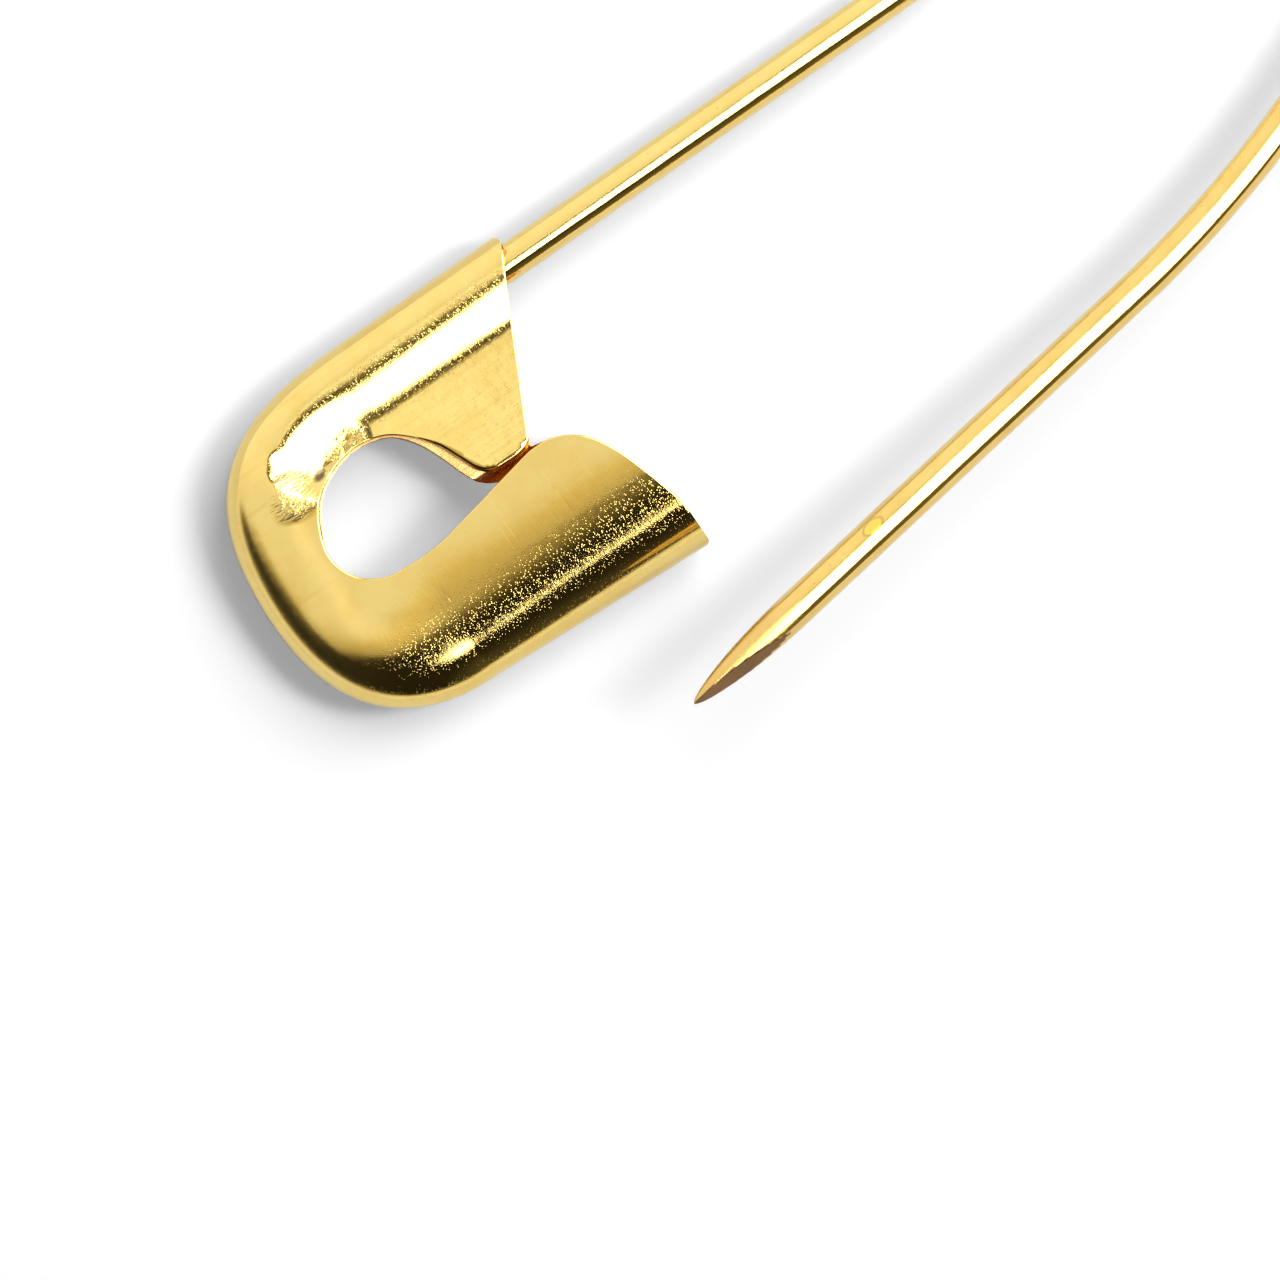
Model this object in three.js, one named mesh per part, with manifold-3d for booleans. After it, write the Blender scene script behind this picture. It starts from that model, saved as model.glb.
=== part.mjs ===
// Safety pin: one wire bent into a spine, a coil spring and a needle arm, and a folded sheet cap.
// Millimetres, +X from the cap to the coil, the needle on the -Y side, +Z up, standing on z = 0.

import * as THREE from 'three';
import { mergeVertices } from 'three/addons/utils/BufferGeometryUtils.js';
import Module from 'manifold-3d';

const wasm = await Module();
wasm.setup();

// Wire
const wireDiameter = 1.15;
const wireSides = 12;

// Spine arm, from the mouth of the cap to the coil, bowed away from the needle
const spineStraightLength = 14.3;
const spineKinkRadius = 9.6;
const spineKinkDegrees = 16.4;
const spineBowRadius = 48.6;
const spineBowDegrees = 19.4;
const spineRunLength = 3.05;
const spineTailLength = 9.2;
const spineMouthLead = 0.11;

// Coil spring: the two levels lie one above the other and the wire climbs in the stretch between them
const coilHoleDiameter = 5.0;
const coilWindDegrees = 515.3;
const coilTurnGap = 0.44;

// Needle arm, relaxed and standing open
const needleRunLength = 15.3;
const needleBendRadius = 36.4;
const needleBendDegrees = 13.4;
const needleStraightLength = 18.3;
const needlePointLength = 4.45;
const needleRise = 1.85;
const needleSeamGap = 0.06;
const pointTipRadius = 0.02;
const pointFullnessShare = 0.6;

// Cap: outline
const capLength = 12.43;
const capWidth = 11.05;
const capSpineSideLength = 6.0;
const capGuardSideLength = 7.66;
const capGuardFlare = 0.42;
const capCrownOffset = 6.0;
const spineCornerShares = [0.52, 0.89];
const guardCornerShares = [1.05, 0.07];

// Cap: sheet and sections
const sheetThickness = 0.28;
const sheetGap = 0.04;
const wireClearance = 0.045;
const guardHalfHeight = 1.2;
const guardRoundWidth = 2.3;
const guardFloorWidth = 1.45;
const guardRampWidth = 1.85;
const endHalfHeight = 1.02;
const endRoundWidth = 1.45;
const endSlopeWidth = 1.4;
const crownAtMouth = 1.75;
const crownTiltDegrees = 3;
const guardSpan = 4.8;
const endSpan = 2.4;
const liftStartShare = 0.42;
const liftEndShare = 0.62;
const flangeSlopeWidth = 1.6;
const flangeOffset = 0.4;
const sectionLedge = 0.15;
const sectionOverlap = 0.3;

// Cap: outlines of the openings, each place as shares of the cap's length from the mouth
// and of its width from the spine's rim
const flangeTopShares = [-0.009, 0];
const flangeCornerShares = [[0.22, 0.509], [0.236, 0.534], [0.266, 0.54]];
const flangeHeelShares = [[0.328, 0.533], [0.355, 0.52], [0.374, 0.496]];
const flangeHollowShares = [[0.412, 0.396], [0.445, 0.341], [0.505, 0.283], [0.582, 0.261], [0.656, 0.276]];
const holeEndShares = [[0.722, 0.317], [0.766, 0.386], [0.788, 0.47], [0.766, 0.549], [0.709, 0.6]];
const guardHollowShares = [[0.65, 0.612], [0.59, 0.615], [0.529, 0.609]];
const guardLipShares = [
  [0.24, 0.544], [0.19, 0.545], [0.147, 0.561], [0.11, 0.591], [0.082, 0.63], [0.052, 0.7], [0.024, 0.795],
];
const guardMouthShares = [0, 0.895];
const backHoleTipShares = [0.34, 0.5665];
const aboveFlangeShares = [[0, 0.35], [0.45, 0.35], [0.45, 0.594]];
const flangeLapShares = [[0, 0.35], [0.45, 0.542]];
const notchLipShare = 0.2;
const backLip = 0.15;
const cutOverrun = 1;

// Facets
const arcSteps = 10;
const straightSteps = 6;
const coilStepsPerTurn = 40;
const pointSteps = 10;
const rimLineSteps = 3;
const rimCornerSteps = 14;
const roundSteps = 8;
const slopeSteps = 12;
const splineSteps = 24;

const wireRadius = wireDiameter / 2;
const coilRadius = (coilHoleDiameter + wireDiameter) / 2;
const coilPitch = wireDiameter + coilTurnGap;
const flangeHalfHeight = sheetThickness + sheetGap / 2;
const tubeRadius = wireRadius + wireClearance + sheetThickness;
const capMidHeight = guardHalfHeight;
const radians = THREE.MathUtils.degToRad;

const brass = new THREE.MeshStandardMaterial({ color: 0xd6ad4c, roughness: 0.28, metalness: 1 });
const brushedBrass = new THREE.MeshStandardMaterial({ color: 0xdcb864, roughness: 0.36, metalness: 1 });

// A closed surface through rings of equal point counts, with a flat fan at each end.
function skin(rings) {
  const count = rings[0].length;
  const positions = rings.flat().flatMap((point) => point.toArray());
  const triangles = [];
  for (let ring = 0; ring < rings.length - 1; ring += 1) {
    for (let side = 0; side < count; side += 1) {
      const next = (side + 1) % count;
      const here = ring * count;
      const there = here + count;
      triangles.push(here + side, here + next, there + next, here + side, there + next, there + side);
    }
  }
  const last = (rings.length - 1) * count;
  for (const [base, flip] of [[0, true], [last, false]]) {
    const outline = rings[base / count].map((point) => point.clone());
    for (const [a, b, c] of triangulateRing(outline)) {
      triangles.push(base + a, base + (flip ? c : b), base + (flip ? b : c));
    }
  }
  const geometry = new THREE.BufferGeometry();
  geometry.setAttribute('position', new THREE.Float32BufferAttribute(positions, 3));
  geometry.setIndex(triangles);
  return geometry;
}

// Triangles of a flat ring of points, wound as the ring runs.
function triangulateRing(ring) {
  const normal = new THREE.Vector3();
  ring.forEach((point, index) => {
    normal.add(new THREE.Vector3().crossVectors(point, ring[(index + 1) % ring.length]));
  });
  const across = new THREE.Vector3().subVectors(ring[1], ring[0]).normalize();
  const up = new THREE.Vector3().crossVectors(normal.normalize(), across);
  const flat = ring.map((point) => new THREE.Vector2(point.dot(across), point.dot(up)));
  return THREE.ShapeUtils.triangulateShape(flat, []);
}

// A wire's route in plan: straight legs and arcs, each a list of places with heading and travelled length.
function planRoute(start, legs) {
  const places = [start];
  for (const leg of legs) {
    const turn = leg.turn ?? 0;
    const length = leg.length ?? leg.radius * Math.abs(turn);
    const halfStep = turn / leg.steps / 2;
    const chord = turn === 0 ? length / leg.steps : 2 * leg.radius * Math.sin(Math.abs(halfStep));
    for (let step = 0; step < leg.steps; step += 1) {
      const from = places[places.length - 1];
      const course = from.heading + halfStep;
      places.push({
        x: from.x + chord * Math.cos(course),
        y: from.y + chord * Math.sin(course),
        heading: course + halfStep,
        travelled: from.travelled + length / leg.steps,
      });
    }
  }
  return places;
}

// A round section of the wire, upright and square to the heading.
function wireRing(place, height, radius) {
  const ring = [];
  for (let side = 0; side < wireSides; side += 1) {
    const angle = (2 * Math.PI * side) / wireSides;
    const sideways = radius * Math.cos(angle);
    ring.push(new THREE.Vector3(
      place.x - sideways * Math.sin(place.heading),
      place.y + sideways * Math.cos(place.heading),
      height + radius * Math.sin(angle),
    ));
  }
  return ring;
}

const ease = (share) => THREE.MathUtils.smootherstep(share, 0, 1);

// Cap: its rim in plan, from the spine's mouth round the far end to the guard's mouth
const spineRimY = tubeRadius;
const guardRimY = spineRimY - capWidth;
const crownY = spineRimY - capCrownOffset;
const spineCornerWidth = capLength - capSpineSideLength;
const guardCornerWidth = capLength - capGuardSideLength;

function capRim() {
  const guardEnd = new THREE.Vector2(-capGuardSideLength, guardRimY);
  const guardMouth = new THREE.Vector2(0, guardRimY - capGuardFlare);
  const guardHeading = new THREE.Vector2().subVectors(guardMouth, guardEnd).normalize();
  const rim = new THREE.Path();
  rim.moveTo(spineMouthLead, spineRimY);
  rim.lineTo(-capSpineSideLength, spineRimY);
  rim.bezierCurveTo(
    -capSpineSideLength - spineCornerShares[0] * spineCornerWidth, spineRimY,
    -capLength, crownY + spineCornerShares[1] * capCrownOffset,
    -capLength, crownY,
  );
  const guardHandle = guardCornerShares[1] * guardCornerWidth;
  rim.bezierCurveTo(
    -capLength, crownY - guardCornerShares[0] * (crownY - guardRimY),
    guardEnd.x - guardHandle * guardHeading.x, guardEnd.y - guardHandle * guardHeading.y,
    guardEnd.x, guardEnd.y,
  );
  rim.lineTo(guardMouth.x, guardMouth.y);
  return rim.curves;
}

// Sections of the cap across its rim. round: width of the rounded rim; ledge: width of the level stretch
// after it; slope: width of the fall to the pressed sheets; span: width over which a raised front arches up;
// lift: 0 where the front sheet is pressed down, 1 where it stands up, as over the point.
const spineSection = {
  half: tubeRadius, round: tubeRadius, ledge: sectionLedge, slope: flangeSlopeWidth,
  span: tubeRadius, lift: 0,
};
const endSection = {
  half: endHalfHeight, round: endRoundWidth, ledge: 0, slope: endSlopeWidth, span: endSpan, lift: 1,
};
const guardSection = {
  half: guardHalfHeight, round: guardRoundWidth, ledge: guardFloorWidth, slope: guardRampWidth,
  span: guardSpan, lift: 1,
};

function blendSections(a, b, share) {
  const mixed = {};
  for (const key of Object.keys(a)) {
    mixed[key] = THREE.MathUtils.lerp(a[key], b[key], ease(share));
  }
  if (a.lift !== b.lift) {
    mixed.lift = THREE.MathUtils.smoothstep(share, liftStartShare, liftEndShare);
  }
  return mixed;
}

const reachOf = (section) => section.round + section.ledge + section.slope + sectionOverlap;

// Places along the rim: a point on the rim, the point that its section reaches to, and the section's sizes.
function capStations() {
  const [spineSide, spineCorner, guardCorner, guardSide] = capRim();
  const spineInner = new THREE.Vector2(-capSpineSideLength, spineRimY - reachOf(spineSection));
  const endInner = new THREE.Vector2(-capLength + reachOf(endSection), crownY);
  const guardInner = new THREE.Vector2(-capGuardSideLength, guardRimY + reachOf(guardSection));
  const legs = [
    { curve: spineSide, steps: rimLineSteps, from: spineSection, to: spineSection },
    { curve: spineCorner, steps: rimCornerSteps, from: spineSection, to: endSection,
      inner: [spineInner, endInner] },
    { curve: guardCorner, steps: rimCornerSteps, from: endSection, to: guardSection,
      inner: [endInner, guardInner] },
    { curve: guardSide, steps: rimLineSteps, from: guardSection, to: guardSection },
  ];
  const stations = [];
  for (const leg of legs) {
    const first = stations.length === 0 ? 0 : 1;
    for (let step = first; step <= leg.steps; step += 1) {
      const share = step / leg.steps;
      const rim = leg.curve.getPoint(share);
      const section = blendSections(leg.from, leg.to, share);
      const inner = leg.inner
        ? leg.inner[0].clone().lerp(leg.inner[1], share)
        : new THREE.Vector2(rim.x, rim.y + (leg.curve === spineSide ? -1 : 1) * reachOf(section));
      stations.push({ rim, inner, section });
    }
  }
  return stations;
}

// Distance of the sheet's outer face from the cap's middle plane, at a distance from the rim, pressed side.
function pressedHeight(section, inset, crown, floor) {
  if (inset < section.round) {
    const share = (section.round - inset) / section.round;
    return crown * Math.sqrt(Math.max(0, 1 - share * share));
  }
  const fall = THREE.MathUtils.smoothstep(inset - section.round - section.ledge, 0, section.slope);
  return THREE.MathUtils.lerp(crown, floor, fall);
}

// Height of the sheet's outer face over the middle plane where it stands up. The crown rises to the mouth.
function raisedHeight(section, inset, wall, x) {
  const inward = THREE.MathUtils.clamp((inset - wall) / (section.span - wall), 0, 1);
  const crown = crownAtMouth + Math.min(0, x) * Math.tan(radians(crownTiltDegrees)) - wall;
  return crown * Math.sqrt(1 - (1 - inward) ** 3);
}

// One closed section of the shell's outside, or of the space inside it when inset by the sheet.
function capSectionRing(station, wall) {
  const { rim, inner, section } = station;
  const reach = rim.distanceTo(inner);
  const crown = section.half - wall;
  const floor = flangeHalfHeight - wall;
  const narrowed = { ...section, round: section.round - wall };
  const insets = [];
  for (let step = 0; step < slopeSteps; step += 1) {
    insets.push(THREE.MathUtils.lerp(reach, section.round, step / slopeSteps));
  }
  for (let step = 0; step < roundSteps; step += 1) {
    insets.push(wall + narrowed.round * (1 - Math.sin((Math.PI / 2) * (step / roundSteps))));
  }
  const at = (inset, height) => {
    const place = rim.clone().lerp(inner, inset / reach);
    return new THREE.Vector3(place.x, place.y, height);
  };
  const front = insets.map((inset) => {
    const pressed = pressedHeight(narrowed, inset - wall, crown, floor + flangeOffset);
    const raised = raisedHeight(section, inset, wall, at(inset, 0).x);
    return at(inset, THREE.MathUtils.lerp(pressed, raised, section.lift));
  });
  const back = insets.map((inset) => {
    return at(inset, -pressedHeight(narrowed, inset - wall, crown, floor - flangeOffset));
  });
  return [...front, at(wall, 0), ...back.reverse()];
}

function toSolid(geometry) {
  const merged = geometry.clone();
  for (const name of Object.keys(merged.attributes)) {
    if (name !== 'position') {
      merged.deleteAttribute(name);
    }
  }
  const welded = mergeVertices(merged);
  return new wasm.Manifold(new wasm.Mesh({
    numProp: 3,
    vertProperties: welded.attributes.position.array,
    triVerts: new Uint32Array(welded.index.array),
  }));
}

function toGeometry(solid) {
  const mesh = solid.getMesh();
  const geometry = new THREE.BufferGeometry();
  geometry.setAttribute('position', new THREE.BufferAttribute(new Float32Array(mesh.vertProperties), 3));
  geometry.setIndex(new THREE.BufferAttribute(new Uint32Array(mesh.triVerts), 1));
  return geometry;
}

// A place on the cap by its shares of the length from the mouth and of the width from the spine's rim.
const capPlace = ([along, across]) => new THREE.Vector2(-along * capLength, spineRimY - across * capWidth);

function slab(shape, bottom, top) {
  const geometry = new THREE.ExtrudeGeometry(shape, {
    depth: top - bottom, bevelEnabled: false, curveSegments: splineSteps,
  });
  return geometry.translate(0, 0, bottom);
}

const smoothThrough = (shares) => new THREE.SplineCurve(shares.map(capPlace)).getPoints(splineSteps);

// The edge of the pressed flange, from the mouth round its corner and heel to the hollow beside the hole.
const flangeCorner = smoothThrough(flangeCornerShares);
const flangeHeel = smoothThrough(flangeHeelShares);
const holeFar = smoothThrough([...flangeHollowShares, ...holeEndShares, ...guardHollowShares]);
const guardLip = smoothThrough(guardLipShares);
const flangeTop = capPlace(flangeTopShares);
const guardMouth = capPlace(guardMouthShares);
const pastMouth = (point) => new THREE.Vector2(cutOverrun, point.y);
const pastRim = new THREE.Vector2(cutOverrun, spineRimY + cutOverrun);

// The front sheet is open from the hole to the mouth, between the flange and the lip of the guard.
function frontOpening() {
  return new THREE.Shape([
    pastRim, flangeTop, ...flangeCorner, ...flangeHeel, ...holeFar,
    ...guardLip, guardMouth, pastMouth(guardMouth),
  ]);
}

// Over the flange the guard's sheet ends at its lip.
function spaceOverFlange() {
  const [top, ...rest] = aboveFlangeShares.map(capPlace);
  return new THREE.Shape([pastMouth(top), ...rest, ...guardLip, guardMouth, pastMouth(guardMouth)]);
}

// The back sheet keeps a strip between the hole and the mouth, and stands a little proud of the flange.
function backOpenings() {
  const middle = new THREE.Box2().setFromPoints(holeFar).getCenter(new THREE.Vector2());
  const proud = (point) => {
    const inward = new THREE.Vector2().subVectors(middle, point);
    return point.clone().addScaledVector(inward.normalize(), point.y > middle.y ? backLip : 0);
  };
  const heel = flangeHeel.slice(flangeHeel.length / 2).map(proud);
  const hole = new THREE.Shape([capPlace(backHoleTipShares), ...heel, ...holeFar.map(proud)]);
  const notch = new THREE.Shape([
    pastRim, flangeTop, ...flangeCorner.slice(0, flangeCorner.length / 2),
    ...guardLip.slice(guardLip.length * notchLipShare), guardMouth, pastMouth(guardMouth),
  ]);
  return [hole, notch];
}

function rectangle(a, b) {
  return new THREE.Shape([a, new THREE.Vector2(b.x, a.y), b, new THREE.Vector2(a.x, b.y)]);
}

// A flat stretch between the two sides of the cap, pressed with them.
function middleSlab(halfHeight, overrun) {
  const top = spineRimY - reachOf(spineSection) + sectionOverlap / 2;
  const bottom = guardRimY + reachOf(guardSection) - sectionOverlap / 2;
  const plan = rectangle(new THREE.Vector2(-capGuardSideLength, bottom), new THREE.Vector2(overrun, top));
  return slab(plan, flangeOffset - halfHeight, flangeOffset + halfHeight);
}

// The front flange laps over the back sheet, up to the lip of the guard.
function flangeLap() {
  const bottom = flangeOffset + sheetGap / 2;
  return slab(rectangle(...flangeLapShares.map(capPlace)), bottom, bottom + sheetThickness);
}

// The space inside runs out through both mouths.
function runPastMouths(stations) {
  const past = (station) => ({
    ...station,
    rim: new THREE.Vector2(cutOverrun, station.rim.y),
    inner: new THREE.Vector2(cutOverrun, station.inner.y),
  });
  return [past(stations[0]), ...stations, past(stations[stations.length - 1])];
}

// The cuts from the front and from the back overlap within the gap between the pressed sheets.
function makeCap() {
  const stations = capStations();
  const depth = guardHalfHeight + cutOverrun;
  const overlap = sheetGap / 4;
  const outside = stations.map((station) => capSectionRing(station, 0));
  const inside = runPastMouths(stations).map((station) => capSectionRing(station, sheetThickness));
  const shell = toSolid(skin(outside)).add(toSolid(middleSlab(flangeHalfHeight, 0)));
  const space = toSolid(skin(inside)).add(toSolid(middleSlab(sheetGap / 2, cutOverrun)));
  let sheet = shell
    .subtract(space)
    .add(toSolid(flangeLap()))
    .subtract(toSolid(slab(frontOpening(), flangeOffset - overlap, depth)))
    .subtract(toSolid(slab(spaceOverFlange(), flangeOffset + flangeHalfHeight + sheetGap, depth)));
  for (const opening of backOpenings()) {
    sheet = sheet.subtract(toSolid(slab(opening, -depth, flangeOffset + overlap)));
  }
  return toGeometry(sheet);
}

// The wire, from the tail inside the cap to the point, cut where its stretches do different work
function tailRoute() {
  const stations = capStations();
  const places = [];
  let travelled = 0;
  for (let index = 0; index < stations.length; index += 1) {
    const { rim, inner } = stations[index];
    const inward = new THREE.Vector2().subVectors(inner, rim).normalize();
    const centre = rim.clone().addScaledVector(inward, tubeRadius);
    const previous = places[places.length - 1];
    if (previous) {
      travelled += Math.hypot(centre.x - previous.x, centre.y - previous.y);
    }
    if (travelled > spineTailLength) {
      break;
    }
    places.push({ x: centre.x, y: centre.y, heading: Math.atan2(inward.x, -inward.y) });
  }
  return places.reverse();
}

const spineRoute = planRoute({ x: 0, y: 0, heading: 0, travelled: 0 }, [
  { length: spineStraightLength, steps: straightSteps },
  { radius: spineKinkRadius, turn: radians(spineKinkDegrees), steps: arcSteps },
  { radius: spineBowRadius, turn: -radians(spineBowDegrees), steps: arcSteps },
  { length: spineRunLength, steps: 1 },
]);
const coilStart = spineRoute[spineRoute.length - 1];
const coilWind = radians(coilWindDegrees);
const coilRoute = planRoute({ ...coilStart, travelled: 0 }, [
  { radius: coilRadius, turn: -coilWind, steps: Math.round((coilStepsPerTurn * coilWindDegrees) / 360) },
]);
const coilEnd = coilRoute[coilRoute.length - 1];
const needleRoute = planRoute({
  x: coilEnd.x + needleSeamGap * Math.cos(coilEnd.heading),
  y: coilEnd.y + needleSeamGap * Math.sin(coilEnd.heading),
  heading: coilEnd.heading,
  travelled: 0,
}, [
  { length: needleRunLength, steps: straightSteps },
  { radius: needleBendRadius, turn: -radians(needleBendDegrees), steps: arcSteps },
  { length: needleStraightLength - needlePointLength, steps: straightSteps },
  { length: needlePointLength, steps: pointSteps },
]);

const lowerLevel = wireRadius;
const upperLevel = lowerLevel + coilPitch;

function spineGeometry() {
  const length = coilStart.travelled;
  const tail = tailRoute().map((place) => wireRing(place, capMidHeight, wireRadius));
  const arm = spineRoute.slice(1).map((place) => {
    const fall = ease(place.travelled / length);
    return wireRing(place, THREE.MathUtils.lerp(capMidHeight, lowerLevel, fall), wireRadius);
  });
  return skin([...tail, ...arm]);
}

// The turns lie flat where one is above the other, and the wire climbs between.
function coilHeight(place) {
  const wound = place.travelled / coilRadius;
  const flat = coilWind - 2 * Math.PI;
  return lowerLevel + coilPitch * ease((wound - flat) / (2 * Math.PI - flat));
}

const coilGeometry = () => skin(coilRoute.map((place) => wireRing(place, coilHeight(place), wireRadius)));

// The arm runs level to its bend and rises from there to the point.
function needleHeight(place) {
  const rising = place.travelled - needleRunLength;
  const length = needleRoute[needleRoute.length - 1].travelled - needleRunLength;
  return upperLevel + needleRise * Math.max(0, rising) / length;
}

function needleGeometry() {
  const length = needleRoute[needleRoute.length - 1].travelled;
  return skin(needleRoute.map((place) => {
    const left = Math.min(1, (length - place.travelled) / needlePointLength);
    const full = (1 - (1 - left) ** 2) ** pointFullnessShare;
    return wireRing(place, needleHeight(place), Math.max(pointTipRadius, wireRadius * full));
  }));
}

function leastCoilGap() {
  let least = Infinity;
  coilRoute.forEach((here, first) => {
    coilRoute.slice(first + coilStepsPerTurn / 2).forEach((there) => {
      const apart = Math.hypot(here.x - there.x, here.y - there.y, coilHeight(here) - coilHeight(there));
      least = Math.min(least, apart - wireDiameter);
    });
  });
  return least;
}

console.log(`coil spring: least gap to itself ${leastCoilGap().toFixed(3)} mm`);

function part(name, geometry, material) {
  const mesh = new THREE.Mesh(geometry, material);
  mesh.name = name;
  return mesh;
}

const cap = part('cap', makeCap().translate(0, 0, capMidHeight), brushedBrass);
const spineWire = part('spine_wire', spineGeometry(), brass);
const coilSpring = part('coil_spring', coilGeometry(), brass);
const needleArm = part('needle_arm', needleGeometry(), brass);

const pin = new THREE.Group();
pin.add(cap, spineWire, coilSpring, needleArm);

// The origin is under the middle of the pin, on the surface that it lies on.
const bounds = new THREE.Box3().setFromObject(pin);
const middle = bounds.getCenter(new THREE.Vector3());
pin.position.set(-middle.x, -middle.y, -bounds.min.z);

export default pin;
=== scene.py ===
import math

import bmesh
import bpy
import numpy as np
from mathutils import Euler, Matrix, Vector
from mathutils.geometry import delaunay_2d_cdt


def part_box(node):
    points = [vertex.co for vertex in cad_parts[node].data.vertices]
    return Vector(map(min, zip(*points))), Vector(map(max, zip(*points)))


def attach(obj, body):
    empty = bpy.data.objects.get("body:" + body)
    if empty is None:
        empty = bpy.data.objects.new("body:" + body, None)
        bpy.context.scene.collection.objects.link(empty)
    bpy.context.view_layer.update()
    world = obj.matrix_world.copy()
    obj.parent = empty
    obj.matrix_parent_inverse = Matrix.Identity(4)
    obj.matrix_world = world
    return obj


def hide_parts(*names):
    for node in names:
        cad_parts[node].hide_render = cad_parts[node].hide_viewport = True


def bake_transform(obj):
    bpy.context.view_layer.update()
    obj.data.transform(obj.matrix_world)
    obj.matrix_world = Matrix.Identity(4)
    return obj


# Sizes are in millimetres. X runs from the cap's mouth along the spine to the coil, so the cap lies at
# negative X. Distances across the cap are counted from its rim inwards.
MM = 0.001

# Wire. A bend is its radius and its turn.
WIRE = 1.15
SPINE_STRAIGHT, SPINE_RUN, SPINE_TAIL = 14.3, 3.05, 5.4
SPINE_KINK = (9.6, math.radians(16.4))
SPINE_BOW = (48.6, math.radians(-19.4))
COIL_HOLE, COIL_GAP = 5.0, 0.44
COIL_RADIUS = (COIL_HOLE + WIRE) / 2
COIL_WIND = math.radians(515.3)
COIL_LOW, COIL_HIGH = WIRE / 2, WIRE / 2 + WIRE + COIL_GAP
NEEDLE_RUN, NEEDLE_STRAIGHT, NEEDLE_POINT, NEEDLE_RISE = 15.3, 18.3, 4.45, 1.85
NEEDLE_BEND = (36.4, math.radians(-13.4))
POINT_TIP, POINT_FULLNESS = 0.02, 0.6
# The ground facet: its lean upwards, and how much of the radius is kept at the tip and where it ends
GROUND_LEAN, GROUND_KEEP = 0.8, (0.6, 1.02)
WIRE_SIDES, ROUTE_STEP = 48, 0.12

# Cap outline in plan. The corners are given by the reach of their curves along both sides.
CAP_LENGTH, CAP_WIDTH = 12.43, 11.05
SPINE_SIDE, GUARD_SIDE, GUARD_FLARE, CROWN_OFFSET = 6.0, 7.66, 0.42, 6.0
SPINE_CORNER, GUARD_CORNER = (0.52, 0.89), (1.05, 0.07)
MOUTH_LEAD = 0.11
MOUTH_CORNERS = (0.4, 0.2)

# Cap sheet
SHEET, SHEET_GAP, WIRE_CLEARANCE = 0.28, 0.04, 0.045
TUBE = WIRE / 2 + WIRE_CLEARANCE + SHEET
FLANGE_HALF, FLANGE_RISE = SHEET + SHEET_GAP / 2, 0.4
CAP_MID = 1.2

# Cap sections: half the height, the width of the rounded rim, the ledge beyond it, the slope down to the
# flange, the width of the guard's arch, and how far the front sheet is lifted to that arch
SPINE_SECTION = dict(half=TUBE, round=TUBE, ledge=0.15, slope=1.6, span=1.2, lift=0.0)
END_SECTION = dict(half=1.02, round=1.45, ledge=0.0, slope=1.4, span=2.4, lift=1.0)
GUARD_SECTION = dict(half=1.2, round=2.3, ledge=1.45, slope=1.85, span=4.8, lift=1.0)
OVERLAP = 0.3
LIFT_START, LIFT_END = 0.42, 0.62
CROWN_AT_MOUTH, CROWN_TILT = 1.77, math.radians(3.4)
# The guard's fuller shoulder: its height, the distance over which it rises, and where and how it runs out
SHOULDER, SHOULDER_RISE, SHOULDER_END, SHOULDER_FALL = 0.06, 0.9, 2.8, 2.0

# Cap openings, each place by shares of the cap's length from the mouth and of its width from the rim
FLANGE_TOP = (-0.009, 0)
FLANGE_CORNER = ((0.22, 0.509), (0.234, 0.534), (0.266, 0.5425))
FLANGE_HEEL = ((0.328, 0.5385), (0.355, 0.523), (0.374, 0.497))
HOLLOW = ((0.412, 0.396), (0.445, 0.341), (0.505, 0.283), (0.582, 0.261), (0.656, 0.276))
HOLE_END = ((0.722, 0.317), (0.766, 0.386), (0.788, 0.47), (0.766, 0.549), (0.709, 0.6))
GUARD_HOLLOW = ((0.65, 0.612), (0.59, 0.615), (0.529, 0.609))
GUARD_LIP = (
    (0.24, 0.544), (0.19, 0.545), (0.147, 0.561), (0.11, 0.591), (0.082, 0.63), (0.052, 0.7), (0.024, 0.795),
)
GUARD_MOUTH = (0, 0.895)
BACK_HOLE_TIP = (0.34, 0.5665)
NOTCH_LIP = 0.2
# The back sheet stands out under the front's edge above the hole, and further from these X on at the heel
BACK_LIP, BACK_LIP_FADE, BACK_LIP_HEEL, BACK_LIP_FROM = 0.08, 0.4, 0.34, (-6.2, -4.5)

# Cut edges: their rounding, the rolled edge of the flange, and the share of it on the inner face. The rolled
# edge fades out with distance from the flange's corner and beside the mouth, and ends just below the corner.
EDGE_ROUND, ROLLED_ROUND, INNER_ROUND = 0.02, 0.15, 0.5
ROLLED_END, ROLLED_FADE, ROLLED_START, ROLLED_BELOW = 3.6, 1.6, 0.2, 0.012

# Cap mesh
ROUND_START, ROUND_STEPS = math.radians(30), 14
STATIONS_SIDE, STATIONS_CORNER = 90, 130
SHEET_STEP, EDGE_STEP, EDGE_EASINGS = 0.11, 0.06, 3
EDGE_ROWS, ROW_KEEP = (0.022, 0.05, 0.085, 0.13), 0.93
ROW_GAP, GRID_GAP = 0.018, 0.18
FRONT_SPLIT, BACK_SPLIT = 0.02, 0.3
FAN_STEPS, CHUNK = 500, 2000
FACE, HIDDEN, CUT = 0, 1, 2
SHARP_ANGLE, WELD = math.radians(50), 0.000002

# Camera: the centre and side of the photograph's square in the plane of the cap's middle
PHOTO_CENTRE, PHOTO_SIDE, PHOTO_TURN = (-3.477, -11.754), 39.04, math.radians(34.8)
CAMERA_FAR, SENSOR = 700.0, 36

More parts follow.
